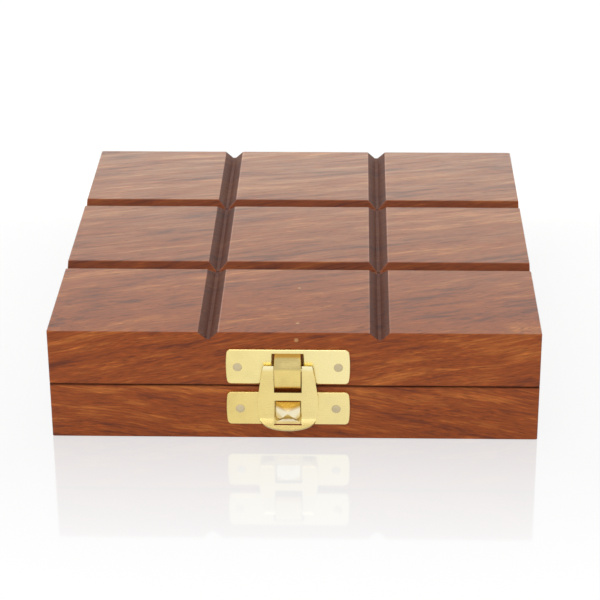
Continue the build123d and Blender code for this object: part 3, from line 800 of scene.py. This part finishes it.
class HaspShape:
    """How the hasp's sheet runs down, out and aside, from its bar to its flared lip."""

    # The sheet starts as a grid, with the rows where the arms, the bridge, the upright and the window end
    rows, columns = 60, 20
    arms, bridge, bend, window = 22, 30, 44, 52
    # Part of the grid's width that the windows take
    open_share = 0.5

    def __init__(self, settings):
        low, high = cad_box("clasp_hasp")
        self.bar, bridge_top, bridge_bottom, self.window_bottom = hasp_heights(settings)
        self.top = high.z - 0.05
        self.crease = self.window_bottom + mm(settings.lip_crease)
        self.tip = self.window_bottom - mm(settings.lip_drop) + 0.22
        self.levels = [(0, self.top - 0.1), (self.arms, bridge_top), (self.bridge, bridge_bottom),
                       (self.bend, self.crease)]
        self.half_wide = (high.x - low.x) / 2
        self.half_top, self.half_foot, self.half_window = (
            mm(width) / 2 for width in (settings.hasp_top, settings.hasp_foot, settings.window))
        middle, bar, crease = mm(settings.bar_out), self.bar, self.crease
        path = [
            (middle - 0.26, self.top - 0.1), (middle + 0.08, bar + 0.25), (middle + 0.40, bar - 0.55),
            (middle + 0.50, bar - 1.30), (middle + 0.36, bar - 2.3), (middle + 0.14, bar - 3.8),
            (middle, bridge_top), (middle - 0.05, bridge_bottom), (middle - 0.05, crease + 1.4),
            (middle + 0.02, crease + 0.35), (middle + 0.22, crease),
        ]
        fineness = 240
        self.spots = [curve_through(path, step / fineness) for step in range(fineness + 1)]
        self.bent_out = path[-1][0]
        reach = FRONT - low.y - mm(settings.hasp_sheet) * 0.40
        self.steepness = (reach - self.bent_out) / (crease - self.tip)
        self.fall = (crease - self.window_bottom) / (crease - self.lip_edge(self.half_window))

    def row(self, spot):
        """A grid point's row, from none at the top edge."""
        return (1.0 - spot.y) / 2 * self.rows

    def in_window(self, spot):
        """Whether a window is cut out of the grid here."""
        row = self.row(spot)
        return abs(spot.x) < self.open_share and (row < self.arms or self.bridge < row < self.window)

    def lip_edge(self, across):
        """Height of the lip's round edge at a distance from the hasp's middle."""
        share_out = min(abs(across) / (self.half_foot + 0.05), 1.0)
        return self.tip + (self.crease - 0.12 - self.tip) * (1.0 - math.sqrt(1.0 - share_out ** 2))

    def out(self, height):
        """How far out the sheet's middle line is at a height above the crease."""
        if height >= self.spots[0][1]:
            return self.spots[0][0]
        for (out_a, high), (out_b, low) in zip(self.spots, self.spots[1:]):
            if low <= height <= high:
                return out_a + (out_b - out_a) * (high - height) / max(high - low, 1e-6)
        return self.bent_out

    def half_width(self, height):
        """Half of the width at a height: the arms spread below the bar, and the lip draws in."""
        shoulder, taper_height = self.bar - self.crease - 5.5, 3.0
        spread = min(max((self.top - height) / shoulder, 0.0), 1.0)
        taper = min(max((self.crease + taper_height - height) / taper_height, 0.0), 1.0)
        outer = self.half_top + (self.half_wide - self.half_top) * spread ** 0.75
        return outer - (self.half_wide - self.half_foot) * taper ** 1.4

    def across(self, side, height):
        """Distance from the middle: up to the windows' sides first, and from there over the arms."""
        if abs(side) <= self.open_share:
            return side / self.open_share * self.half_window
        past = (abs(side) - self.open_share) / (1.0 - self.open_share)
        return math.copysign(self.half_window + past * (self.half_width(height) - self.half_window), side)

    def point(self, spot):
        """Where a grid point goes: aside, out and up."""
        row, side, height = round(self.row(spot)), spot.x, self.crease
        for (first, upper), (last, lower) in zip(self.levels, self.levels[1:]):
            if first <= row <= last:
                height = upper + (lower - upper) * (row - first) / (last - first)
        across = self.across(side, height)
        if row <= self.bend:
            return across, self.out(height), height
        edge = self.lip_edge(across)
        knee = self.window_bottom
        if abs(side) > self.open_share:
            knee = self.crease + (edge - self.crease) * self.fall
        if row <= self.window:
            height = self.crease + (knee - self.crease) * (row - self.bend) / (self.window - self.bend)
        else:
            height = knee + (edge - knee) * (row - self.window) / (self.rows - self.window)
        return across, self.bent_out + (self.crease - height) * self.steepness, height


class DressHasp(bpy.types.Operator):
    """Make the swinging brass hasp and its pivot bar"""
    bl_idname = "game_box.hasp"
    bl_label = "Hasp"

    def execute(self, context):
        settings = context.scene.clasp_settings
        shape = HaspShape(settings)
        bm = bmesh.new()
        bmesh.ops.create_grid(bm, x_segments=shape.columns, y_segments=shape.rows, size=1.0)
        windows = [face for face in bm.faces if shape.in_window(face.calc_center_median())]
        bmesh.ops.delete(bm, geom=windows, context="FACES")
        for vert in bm.verts:
            across, out, height = shape.point(vert.co)
            vert.co = (CLASP_CENTRE + across, FRONT - out, height)
        hasp = finished("hasp_brass", bm, "hasp", "brass", "hasp_brass", ["clasp_hasp"], sharp=60.0)
        thickened(hasp, mm(settings.hasp_sheet), 0.28, 4)
        self.pivot_bar(settings, shape.bar)
        return {"FINISHED"}

    def pivot_bar(self, settings, height):
        """The round bar that the hasp turns on, between its arms."""
        radius, width = mm(settings.bar_radius) * BAR_SHARE, mm(settings.hasp_top) - 2.4
        bm = bmesh.new()
        bmesh.ops.create_cone(bm, cap_ends=True, segments=32, radius1=radius, radius2=radius, depth=width)
        caps = [edge for edge in bm.edges if abs(edge.verts[0].co.z - edge.verts[1].co.z) < TOLERANCE]
        eased(bm, caps, 0.18, 3)
        rolled(bm, 90.0, "Y")
        moved(bm, (CLASP_CENTRE, FRONT - mm(settings.bar_out) + 0.05, height - 0.25))
        finished("hasp_pivot_bar", bm, "hasp", "brass", "polished_brass")


class DressCatch(bpy.types.Operator):
    """Make the base's brass plate with its faceted catch"""
    bl_idname = "game_box.catch"
    bl_label = "Catch plate"

    def execute(self, context):
        settings = context.scene.clasp_settings
        bm = bmesh.new()
        bowed_plate(bm, "catch_plate", settings)
        finished("base_plate_brass", bm, "base", "brass", "rich_brass", ["catch_plate"], crisp=True)
        reach = FRONT - cad_box("catch_plate")[0].y
        sheet = mm(settings.sheet)
        bridge_bottom, window_bottom = hasp_heights(settings)[2:]
        bottom, top = window_bottom - 0.4, bridge_bottom - mm(settings.catch_gap)
        sunk = 0.5 * sheet
        thick = mm(settings.catch_shoulder) + sunk
        bm = bmesh.new()
        bmesh.ops.create_cube(bm, size=1.0)
        bmesh.ops.scale(bm, verts=bm.verts, vec=(mm(settings.catch_width), thick, top - bottom))
        moved(bm, (0.0, -thick / 2 - sunk, 0.0))
        face = min(bm.faces, key=lambda item: item.calc_center_median().y)
        peak = bmesh.ops.poke(bm, faces=[face])["verts"][0]
        peak.co = Vector((0.0, -reach - 0.06, (top - bottom) * (settings.catch_peak - 0.5) + 0.1))
        edges = [edge for edge in bm.edges if min(vert.co.y for vert in edge.verts) < -sheet - 0.2]
        eased(bm, edges, 0.26, 3)
        moved(bm, (CLASP_CENTRE, FRONT, (top + bottom) / 2))
        finished("catch_boss", bm, "base", "brass", "catch_brass", sharp=50.0, crisp=True)
        return {"FINISHED"}


def add_nail(bm, x, face, height, outward, head):
    """A nail with a flat, slightly domed head, a round shank and a point."""
    profile = [(0.0, 0.30), (head * 0.55, 0.27), (head * 0.86, 0.18), (head * 0.98, 0.06), (head, -0.02),
               (head * 0.55, -0.03), (0.6, -0.05), (0.6, -5.1), (0.0, -5.9)]
    one = bmesh.new()
    turned(one, profile, 32)
    rolled(one, -90.0 * outward, "X")
    moved(one, (x, face, height))
    mesh = bpy.data.meshes.new("nail")
    one.to_mesh(mesh)
    one.free()
    bm.from_mesh(mesh)
    bpy.data.meshes.remove(mesh)


class DressNails(bpy.types.Operator):
    """Make the nails of the clasp and of the hinges"""
    bl_idname = "game_box.nails"
    bl_label = "Nails"

    def execute(self, context):
        settings = context.scene.clasp_settings
        hinge = context.scene.hinge_settings
        head = mm(settings.nail_radius)
        for node, body in (("clasp_plate_nails", "top"), ("catch_plate_nails", "base")):
            low, high = cad_box(node)
            bm = bmesh.new()
            for x in (low.x + head, high.x - head):
                add_nail(bm, x, FRONT - mm(settings.sheet), (low.z + high.z) / 2, -1, head)
            finished(node + "_steel", bm, body, "steel", "nail_steel", [node])
        for node, body, upward in (("hinge_lid_nails", "top", 1), ("hinge_base_nails", "base", -1)):
            bm = bmesh.new()
            for side in HINGE_SIDES:
                middle = sum(corner.x for corner in cad_box(f"hinge_{side}_lid_leaf")) / 2
                for way in (-1, 1):
                    x = middle + way * mm(hinge.nail_spacing) / 2
                    height = SEAM + upward * mm(hinge.nail_height)
                    add_nail(bm, x, BACK + mm(hinge.sheet), height, 1, head)
            finished(node + "_steel", bm, body, "steel", "nail_steel", [node])
        return {"FINISHED"}


class DressHinges(bpy.types.Operator):
    """Make the leaves, knuckles and pins of the hinges"""
    bl_idname = "game_box.hinges"
    bl_label = "Hinges"

    def execute(self, context):
        settings = context.scene.hinge_settings
        for side in HINGE_SIDES:
            low, high = cad_box(f"hinge_{side}_base_leaf")
            middle, width = (low.x + high.x) / 2, high.x - low.x
            for half, body, upward, own in (("lid", "top", 1, (1, 3)), ("base", "base", -1, (0, 2, 4))):
                node = f"hinge_{side}_{half}_leaf"
                self.leaf(settings, node, body, middle, width, upward, own)
                self.knuckles(settings, node, body, middle, width, own)
            self.pin(settings, f"hinge_{side}_pin")
        return {"FINISHED"}

    def leaf(self, settings, node, body, middle, width, upward, own):
        """A flat leaf that reaches to its own knuckles and leaves room for the other leaf's."""
        low, high = cad_box(node)
        far = high.z if upward > 0 else low.z
        step = width / KNUCKLE_COUNT
        cut = mm(settings.knuckle) + 0.2
        outline = [(-width / 2, far), (width / 2, far)]
        for index in reversed(range(KNUCKLE_COUNT)):
            left = -width / 2 + index * step
            level = SEAM + upward * (0.1 if index in own else cut)
            outline += [(left + step, level), (left, level)]
        bm = bmesh.new()
        verts = [bm.verts.new((middle + x, BACK, z)) for x, z in outline]
        bm.faces.new(verts)
        rounded_corners(bm, verts[:2], 1.0, 5)
        rear = pulled(bm, list(bm.faces), (0.0, mm(settings.sheet), 0.0))
        rim = [edge for edge in rim_of(bm, rear)
               if max(abs(vert.co.z - SEAM) for vert in edge.verts) > cut + TOLERANCE]
        eased(bm, rim, mm(settings.rim), 3)
        finished(node + "_sheet", bm, body, "brass", "polished_brass", [node])

    def knuckles(self, settings, node, body, middle, width, own):
        """The knuckles round the pin that belong to a leaf."""
        step, radius = width / KNUCKLE_COUNT, mm(settings.knuckle) - 0.02
        axis_out = mm(settings.knuckle) + mm(settings.to_wood)
        bm = bmesh.new()
        for index in own:
            place = (middle - width / 2 + (index + 0.5) * step, BACK + axis_out, SEAM)
            barrel = bmesh.ops.create_cone(
                bm, cap_ends=True, segments=40, radius1=radius, radius2=radius,
                depth=step - mm(settings.knuckle_gap),
                matrix=Matrix.Translation(place) @ Matrix.Rotation(math.radians(90.0), 4, "Y"),
            )["verts"]
            ring = {edge for vert in barrel for edge in vert.link_edges
                    if abs(edge.verts[0].co.x - edge.verts[1].co.x) < TOLERANCE}
            eased(bm, ring, 0.14, 3)
        finished(node + "_knuckles", bm, body, "brass", "polished_brass")

    def pin(self, settings, node):
        """A straight pin with eased ends."""
        low, high = cad_box(node)
        radius, half = mm(settings.pin), (high.x - low.x) / 2
        bm = bmesh.new()
        turned(bm, [(0.0, -half), (radius * 0.7, -half + 0.05), (radius, -half + 0.3), (radius, half - 0.3),
                    (radius * 0.7, half - 0.05), (0.0, half)], 32)
        rolled(bm, 90.0, "Y")
        moved(bm, ((low.x + high.x) / 2, (low.y + high.y) / 2, SEAM))
        finished(node + "_steel", bm, "base", "steel", "nail_steel", [node])


def dress_pieces(pattern, count, shape, suffix, slot, material, **looks):
    """Makes one loose piece for each numbered node, from a shape that takes its half width and height."""
    for number in range(1, count + 1):
        node = pattern.format(number)
        low, high = cad_box(node)
        bm = bmesh.new()
        shape(bm, (high.x - low.x) / 2, high.z - low.z)
        moved(bm, ((low.x + high.x) / 2, (low.y + high.y) / 2, low.z))
        finished(f"{node}_{suffix}", bm, node, slot, material, [node], **looks)


class DressPegs(bpy.types.Operator):
    """Make the turned solitaire pegs"""
    bl_idname = "game_box.pegs"
    bl_label = "Pegs"

    def execute(self, context):
        settings = context.scene.piece_settings

        def peg(bm, _, tall):
            turned(bm, self.profile(settings, tall), 28)

        dress_pieces("peg_{:02d}", PEG_COUNT, peg, "turned", "light_wood", "peg_wood", sharp=40.0)
        return {"FINISHED"}

    @staticmethod
    def profile(settings, tall):
        """A shank with an eased end and a fine groove, a shoulder, and a domed head."""
        shank, head, neck = mm(settings.peg_radius), mm(settings.peg_head), mm(settings.peg_neck)
        rim, band, turns = neck + 1.4, 1.6, 8
        dome = tall - rim - band
        points = [(0.0, 0.0), (shank - 0.42, 0.0), (shank - 0.1, 0.14), (shank, 0.46), (shank, neck - 1.6),
                  (shank - 0.28, neck - 1.45), (shank - 0.28, neck - 1.1), (shank, neck - 0.95),
                  (shank, neck - 0.1), (shank + 0.18, neck + 0.12), (head - 0.22, rim - 0.22),
                  (head - 0.05, rim - 0.02), (head, rim + 0.25), (head, rim + band - 0.15)]
        for turn in range(1, turns):
            rise = math.radians(90.0 * turn / turns)
            points.append((head * math.cos(rise), rim + band + dome * math.sin(rise)))
        return points + [(0.0, tall)]


class DressNoughts(bpy.types.Operator):
    """Make the noughts"""
    bl_idname = "game_box.noughts"
    bl_label = "Noughts"

    def execute(self, context):
        settings = context.scene.piece_settings
        inner = mm(settings.nought_hole) / 2

        def nought(bm, outer, thick):
            verts = [bm.verts.new((x, 0.0, z)) for x, z in (
                (inner, 0.0), (outer, 0.0), (outer, thick), (inner, thick))]
            bm.faces.new(verts)
            rounded_corners(bm, verts, mm(settings.arris), 4)
            bmesh.ops.delete(bm, geom=list(bm.faces), context="FACES_ONLY")
            spun(bm, 96)

        dress_pieces("nought_{}", PIECE_COUNT, nought, "ring", "light_wood", "nought_wood")
        return {"FINISHED"}


class DressCrosses(bpy.types.Operator):
    """Make the crosses"""
    bl_idname = "game_box.crosses"
    bl_label = "Crosses"

    def execute(self, context):
        bar = mm(context.scene.piece_settings.cross_bar) / 2

        def cross(bm, half, thick):
            reach = half * math.sqrt(2) - bar
            outline = []
            for quarter in range(4):
                turn = Matrix.Rotation(math.radians(45.0 + 90.0 * quarter), 3, "Z")
                outline += [turn @ Vector((x, y, 0.0)) for x, y in ((reach, -bar), (reach, bar), (bar, bar))]
            verts = [bm.verts.new(point) for point in outline]
            bm.faces.new(verts)
            tips = [vert for index, vert in enumerate(verts) if index % 3 != 2]
            rounded_corners(bm, tips, 0.5, 3)
            pulled(bm, list(bm.faces), (0.0, 0.0, thick))
            flats = [face for face in bm.faces if abs(face.normal.z) > 0.9]
            eased(bm, {edge for face in flats for edge in face.edges}, 0.42, 3)

        dress_pieces("cross_{}", PIECE_COUNT, cross, "cut", "dark_wood", "cross_wood")
        return {"FINISHED"}


class MixFinishes(bpy.types.Operator):
    """Make the materials of the box, the clasp and the playing pieces"""
    bl_idname = "game_box.finishes"
    bl_label = "Finishes"

    def execute(self, context):
        self.woods(context.scene.wood_settings, context.scene.box_settings)
        self.metals(context.scene.clasp_settings)
        return {"FINISHED"}

    def woods(self, wood, box):
        rosewood, beech, ebonised = (
            [tuple(getattr(wood, f"{kind}_{shade}")) for shade in ("mid", "light", "dark")]
            for kind in ("rosewood", "beech", "ebonised")
        )
        lacquer = wood.lacquer_roughness
        # Reach of the seam's painted shade, in millimetres, and strengths of the painted shade along the
        # seam and in the upright and level grooves
        seam_reach, seam_shade_strength, upright_shade_strength, level_shade_strength = 0.52, 0.56, 0.77, 0.40
        seam_shade = (seam_mask(seam_reach), seam_shade_strength)
        groove_shades = [(groove_mask(box, "X"), upright_shade_strength), (groove_mask(box, "Y"), level_shade_strength)]
        specks = [((0.7, FRONT, BOX_TOP - 2.1), 0.7), ((0.9, FRONT + 5.6, BOX_TOP), 0.6),
                  ((0.8, FRONT + 27.0, BOX_TOP), 0.5)]
        wood_material("rosewood_lid", rosewood, (40.0, 95.0, 3.0), wood.grain_rise, wood.grain_veer,
                      roughness=lacquer, painted_shades=[*groove_shades, seam_shade], specks=specks,
                      sheen_above=BOX_TOP - 0.08)
        wood_material("rosewood_base", rosewood, (310.0, 71.0, 0.0), -wood.grain_rise, -wood.grain_veer,
                      roughness=lacquer, painted_shades=[seam_shade])
        wood_material("rosewood_board", rosewood, (90.0, 31.0, 45.0), roughness=lacquer)
        wood_material("peg_wood", beech, (12.0, 5.0, 40.0), upright=True, pores=0.5)
        wood_material("nought_wood", beech, (60.0, 15.0, 10.0), veer=0.3, pores=0.5)
        wood_material("cross_wood", ebonised, (7.0, 44.0, 8.0), veer=-0.4, pores=0.8)

    def metals(self, clasp):
        brass, reflection_tint, rich, steel = (
            tuple(tint) for tint in (clasp.brass, clasp.pale_brass, clasp.rich_brass, clasp.steel))
        low, high = cad_box("clasp_plate")
        bar, end, window_bottom = high.z - mm(clasp.bar_drop), low.z, hasp_heights(clasp)[3]
        # The brass grows paler towards the right, a painted reflection
        reflection_band = ("X", low.x, high.x * 2.2, reflection_tint)
        metal_material("polished_brass", brass, clasp.polish, 0.10, [("X", low.x, high.x, reflection_tint)])
        metal_material("rich_brass", rich, clasp.polish, 0.10, [reflection_band])
        # The hasp: paler towards the right as a painted reflection, painted shade on its lip and a painted
        # highlight on its arms' tops
        metal_material("hasp_brass", rich, clasp.polish, 0.10, [
            reflection_band, ("Z", window_bottom + 1.2, window_bottom + 0.4, LIP_PAINTED_SHADE),
            ("Z", bar - 0.3, bar + 0.5, ARM_SHINE)])
        # The catch: a painted reflection of the hasp's bridge on its upper part and a painted reflection of
        # the lip on its lower part
        metal_material("catch_brass", CATCH_TINT, clasp.polish * 0.7, 0.05, [
            ("Z", SEAM - 5.6, SEAM - 4.6, CATCH_TOP_REFLECTION),
            ("Z", window_bottom + 1.3, window_bottom + 0.5, CATCH_LIP_REFLECTION)])
        # The tongue: painted shade on its upper facet and darker still at its root, and a painted reflection
        # on its curled end
        metal_material("tongue_brass", rich, clasp.polish, 0.10, [
            ("Z", bar + 0.5, bar + 1.1, TONGUE_FACET_SHADE), ("Z", bar + 2.9, bar + 3.4, TONGUE_UPPER_SHADE),
            ("Z", end + 1.1, end + 0.5, TONGUE_CURL_REFLECTION)])
        metal_material("nail_steel", steel, 0.42, 0.25)


class BuildStage(bpy.types.Operator):
    """Make the floor, the lamps, the room's light and the camera"""
    bl_idname = "game_box.stage"
    bl_label = "Stage"

    def execute(self, context):
        settings = context.scene.stage_settings
        self.camera(context.scene)
        self.floor(settings)
        self.lamp("overhead_lamp", settings.key_power, place=(-0.15, 0.10, 1.00), size=0.9)
        self.lamp("front_lamp", settings.fill_power, place=(-0.25, -1.00, 0.45), size=0.8)
        self.lamp("back_lamp", settings.back_power, place=(0.0, 1.05, 0.26), size=1.6, height=0.26,
                  tint=settings.back_tint)
        self.room(context.scene, settings)
        context.scene.view_settings.view_transform = "Standard"
        return {"FINISHED"}

    def camera(self, scene):
        """The photograph's camera, worked out from the box's edges."""
        level, sink = math.cos(CAMERA_PITCH), math.sin(CAMERA_PITCH)
        aside, forward = math.sin(CAMERA_HEADING), math.cos(CAMERA_HEADING)
        ahead = Vector((aside * level, forward * level, -sink))
        across = Vector((forward, -aside, 0.0))
        above = across.cross(ahead)
        right = math.cos(CAMERA_ROLL) * across + math.sin(CAMERA_ROLL) * above
        up = math.cos(CAMERA_ROLL) * above - math.sin(CAMERA_ROLL) * across
        camera = bpy.data.objects.new("camera", bpy.data.cameras.new("camera"))
        turn = Matrix((right, up, -ahead)).transposed().to_4x4()
        camera.matrix_world = Matrix.Translation(CAMERA_PLACE) @ turn
        camera.data.sensor_width = SENSOR_WIDTH
        camera.data.lens = CAMERA_LENS
        camera.data.shift_x, camera.data.shift_y = CAMERA_SHIFT
        camera.data.clip_start = 0.01
        scene.collection.objects.link(camera)
        scene.camera = camera

    def floor(self, settings):
        """A white floor that keeps the box's shadow and a faint mirror image close to the box."""
        bm = bmesh.new()
        bmesh.ops.create_grid(bm, x_segments=1, y_segments=1, size=settings.floor_size / 2)
        floor = placed("floor", bm)
        floor.location.z = -0.0002
        material = bpy.data.materials.new("white_floor")
        nodes = Nodes(material)
        nodes.fill(nodes.shader, {"Base Color": solid_colour(FLOOR_WHITE), "Roughness": 0.35})
        glow = nodes.add("Emission", {"Color": solid_colour(1.0), "Strength": 1.0})
        lit = nodes.blend(nodes.math("MULTIPLY", nodes.looked_at(), 0.92), nodes.shader, glow)
        place = nodes.place()
        outside = [nodes.math("SUBTRACT", nodes.math("ABSOLUTE", nodes.axis(place, name)), HALF_SIDE / METRE)
                   for name in "XY"]
        away = nodes.math("DIVIDE", nodes.math("MAXIMUM", *outside), settings.mirror_reach)
        faint = nodes.ramp(away, (0.0, settings.mirror), (1.0, 0.0))
        mirror = nodes.add("BsdfGlossy", {"Roughness": 0.06})
        nodes.show(nodes.blend(faint, lit, mirror))
        floor.data.materials.append(material)

    def lamp(self, name, power, place, size, height=None, tint=(1.0, 1.0, 1.0)):
        """A round lamp, or a wide low one if it has a height, aimed at the box."""
        light = bpy.data.lights.new(name, "AREA")
        light.shape = "RECTANGLE" if height else "DISK"
        light.size = size
        light.size_y = height or size
        light.energy = power
        light.color = tint
        lamp = bpy.data.objects.new(name, light)
        lamp.location = place
        lamp.rotation_euler = (-Vector(place)).to_track_quat("-Z", "Y").to_euler()
        lamp.visible_glossy = name != "front_lamp"
        bpy.context.scene.collection.objects.link(lamp)

    def room(self, scene, settings):
        """Even light all round, behind a background that the camera sees as white."""
        scene.world = bpy.data.worlds.new("room")
        nodes = Nodes(scene.world)
        nodes.fill(nodes.shader, {"Color": solid_colour(1.0), "Strength": settings.world_light})
        white = nodes.add("Background", {"Color": solid_colour(1.0)})
        nodes.show(nodes.blend(nodes.looked_at(), nodes.shader, white))


MAKERS = (
    MixFinishes, DressBaseTray, DressLid, DressBoard, DressClaspPlate, DressHasp, DressCatch, DressNails,
    DressHinges, DressPegs, DressNoughts, DressCrosses, BuildStage,
)
SETTINGS = {
    "wood_settings": WoodSettings,
    "box_settings": BoxSettings,
    "clasp_settings": ClaspSettings,
    "hinge_settings": HingeSettings,
    "piece_settings": PieceSettings,
    "stage_settings": StageSettings,
}


class GameBoxPanel(bpy.types.Panel):
    """Lists the game box's makers"""
    bl_idname = "VIEW3D_PT_game_box"
    bl_label = "Game box"
    bl_space_type = "VIEW_3D"
    bl_region_type = "UI"
    bl_category = "Game box"

    def draw(self, context):
        for maker in MAKERS:
            self.layout.operator(maker.bl_idname)


def register():
    for kind in (*SETTINGS.values(), *MAKERS, GameBoxPanel):
        bpy.utils.register_class(kind)
    for name, kind in SETTINGS.items():
        setattr(bpy.types.Scene, name, bpy.props.PointerProperty(type=kind))


def unregister():
    for name in SETTINGS:
        delattr(bpy.types.Scene, name)
    for kind in reversed((*SETTINGS.values(), *MAKERS, GameBoxPanel)):
        bpy.utils.unregister_class(kind)


def main():
    register()
    for maker in MAKERS:
        group, name = maker.bl_idname.split(".")
        getattr(getattr(bpy.ops, group), name)()


if __name__ == "__main__":
    main()
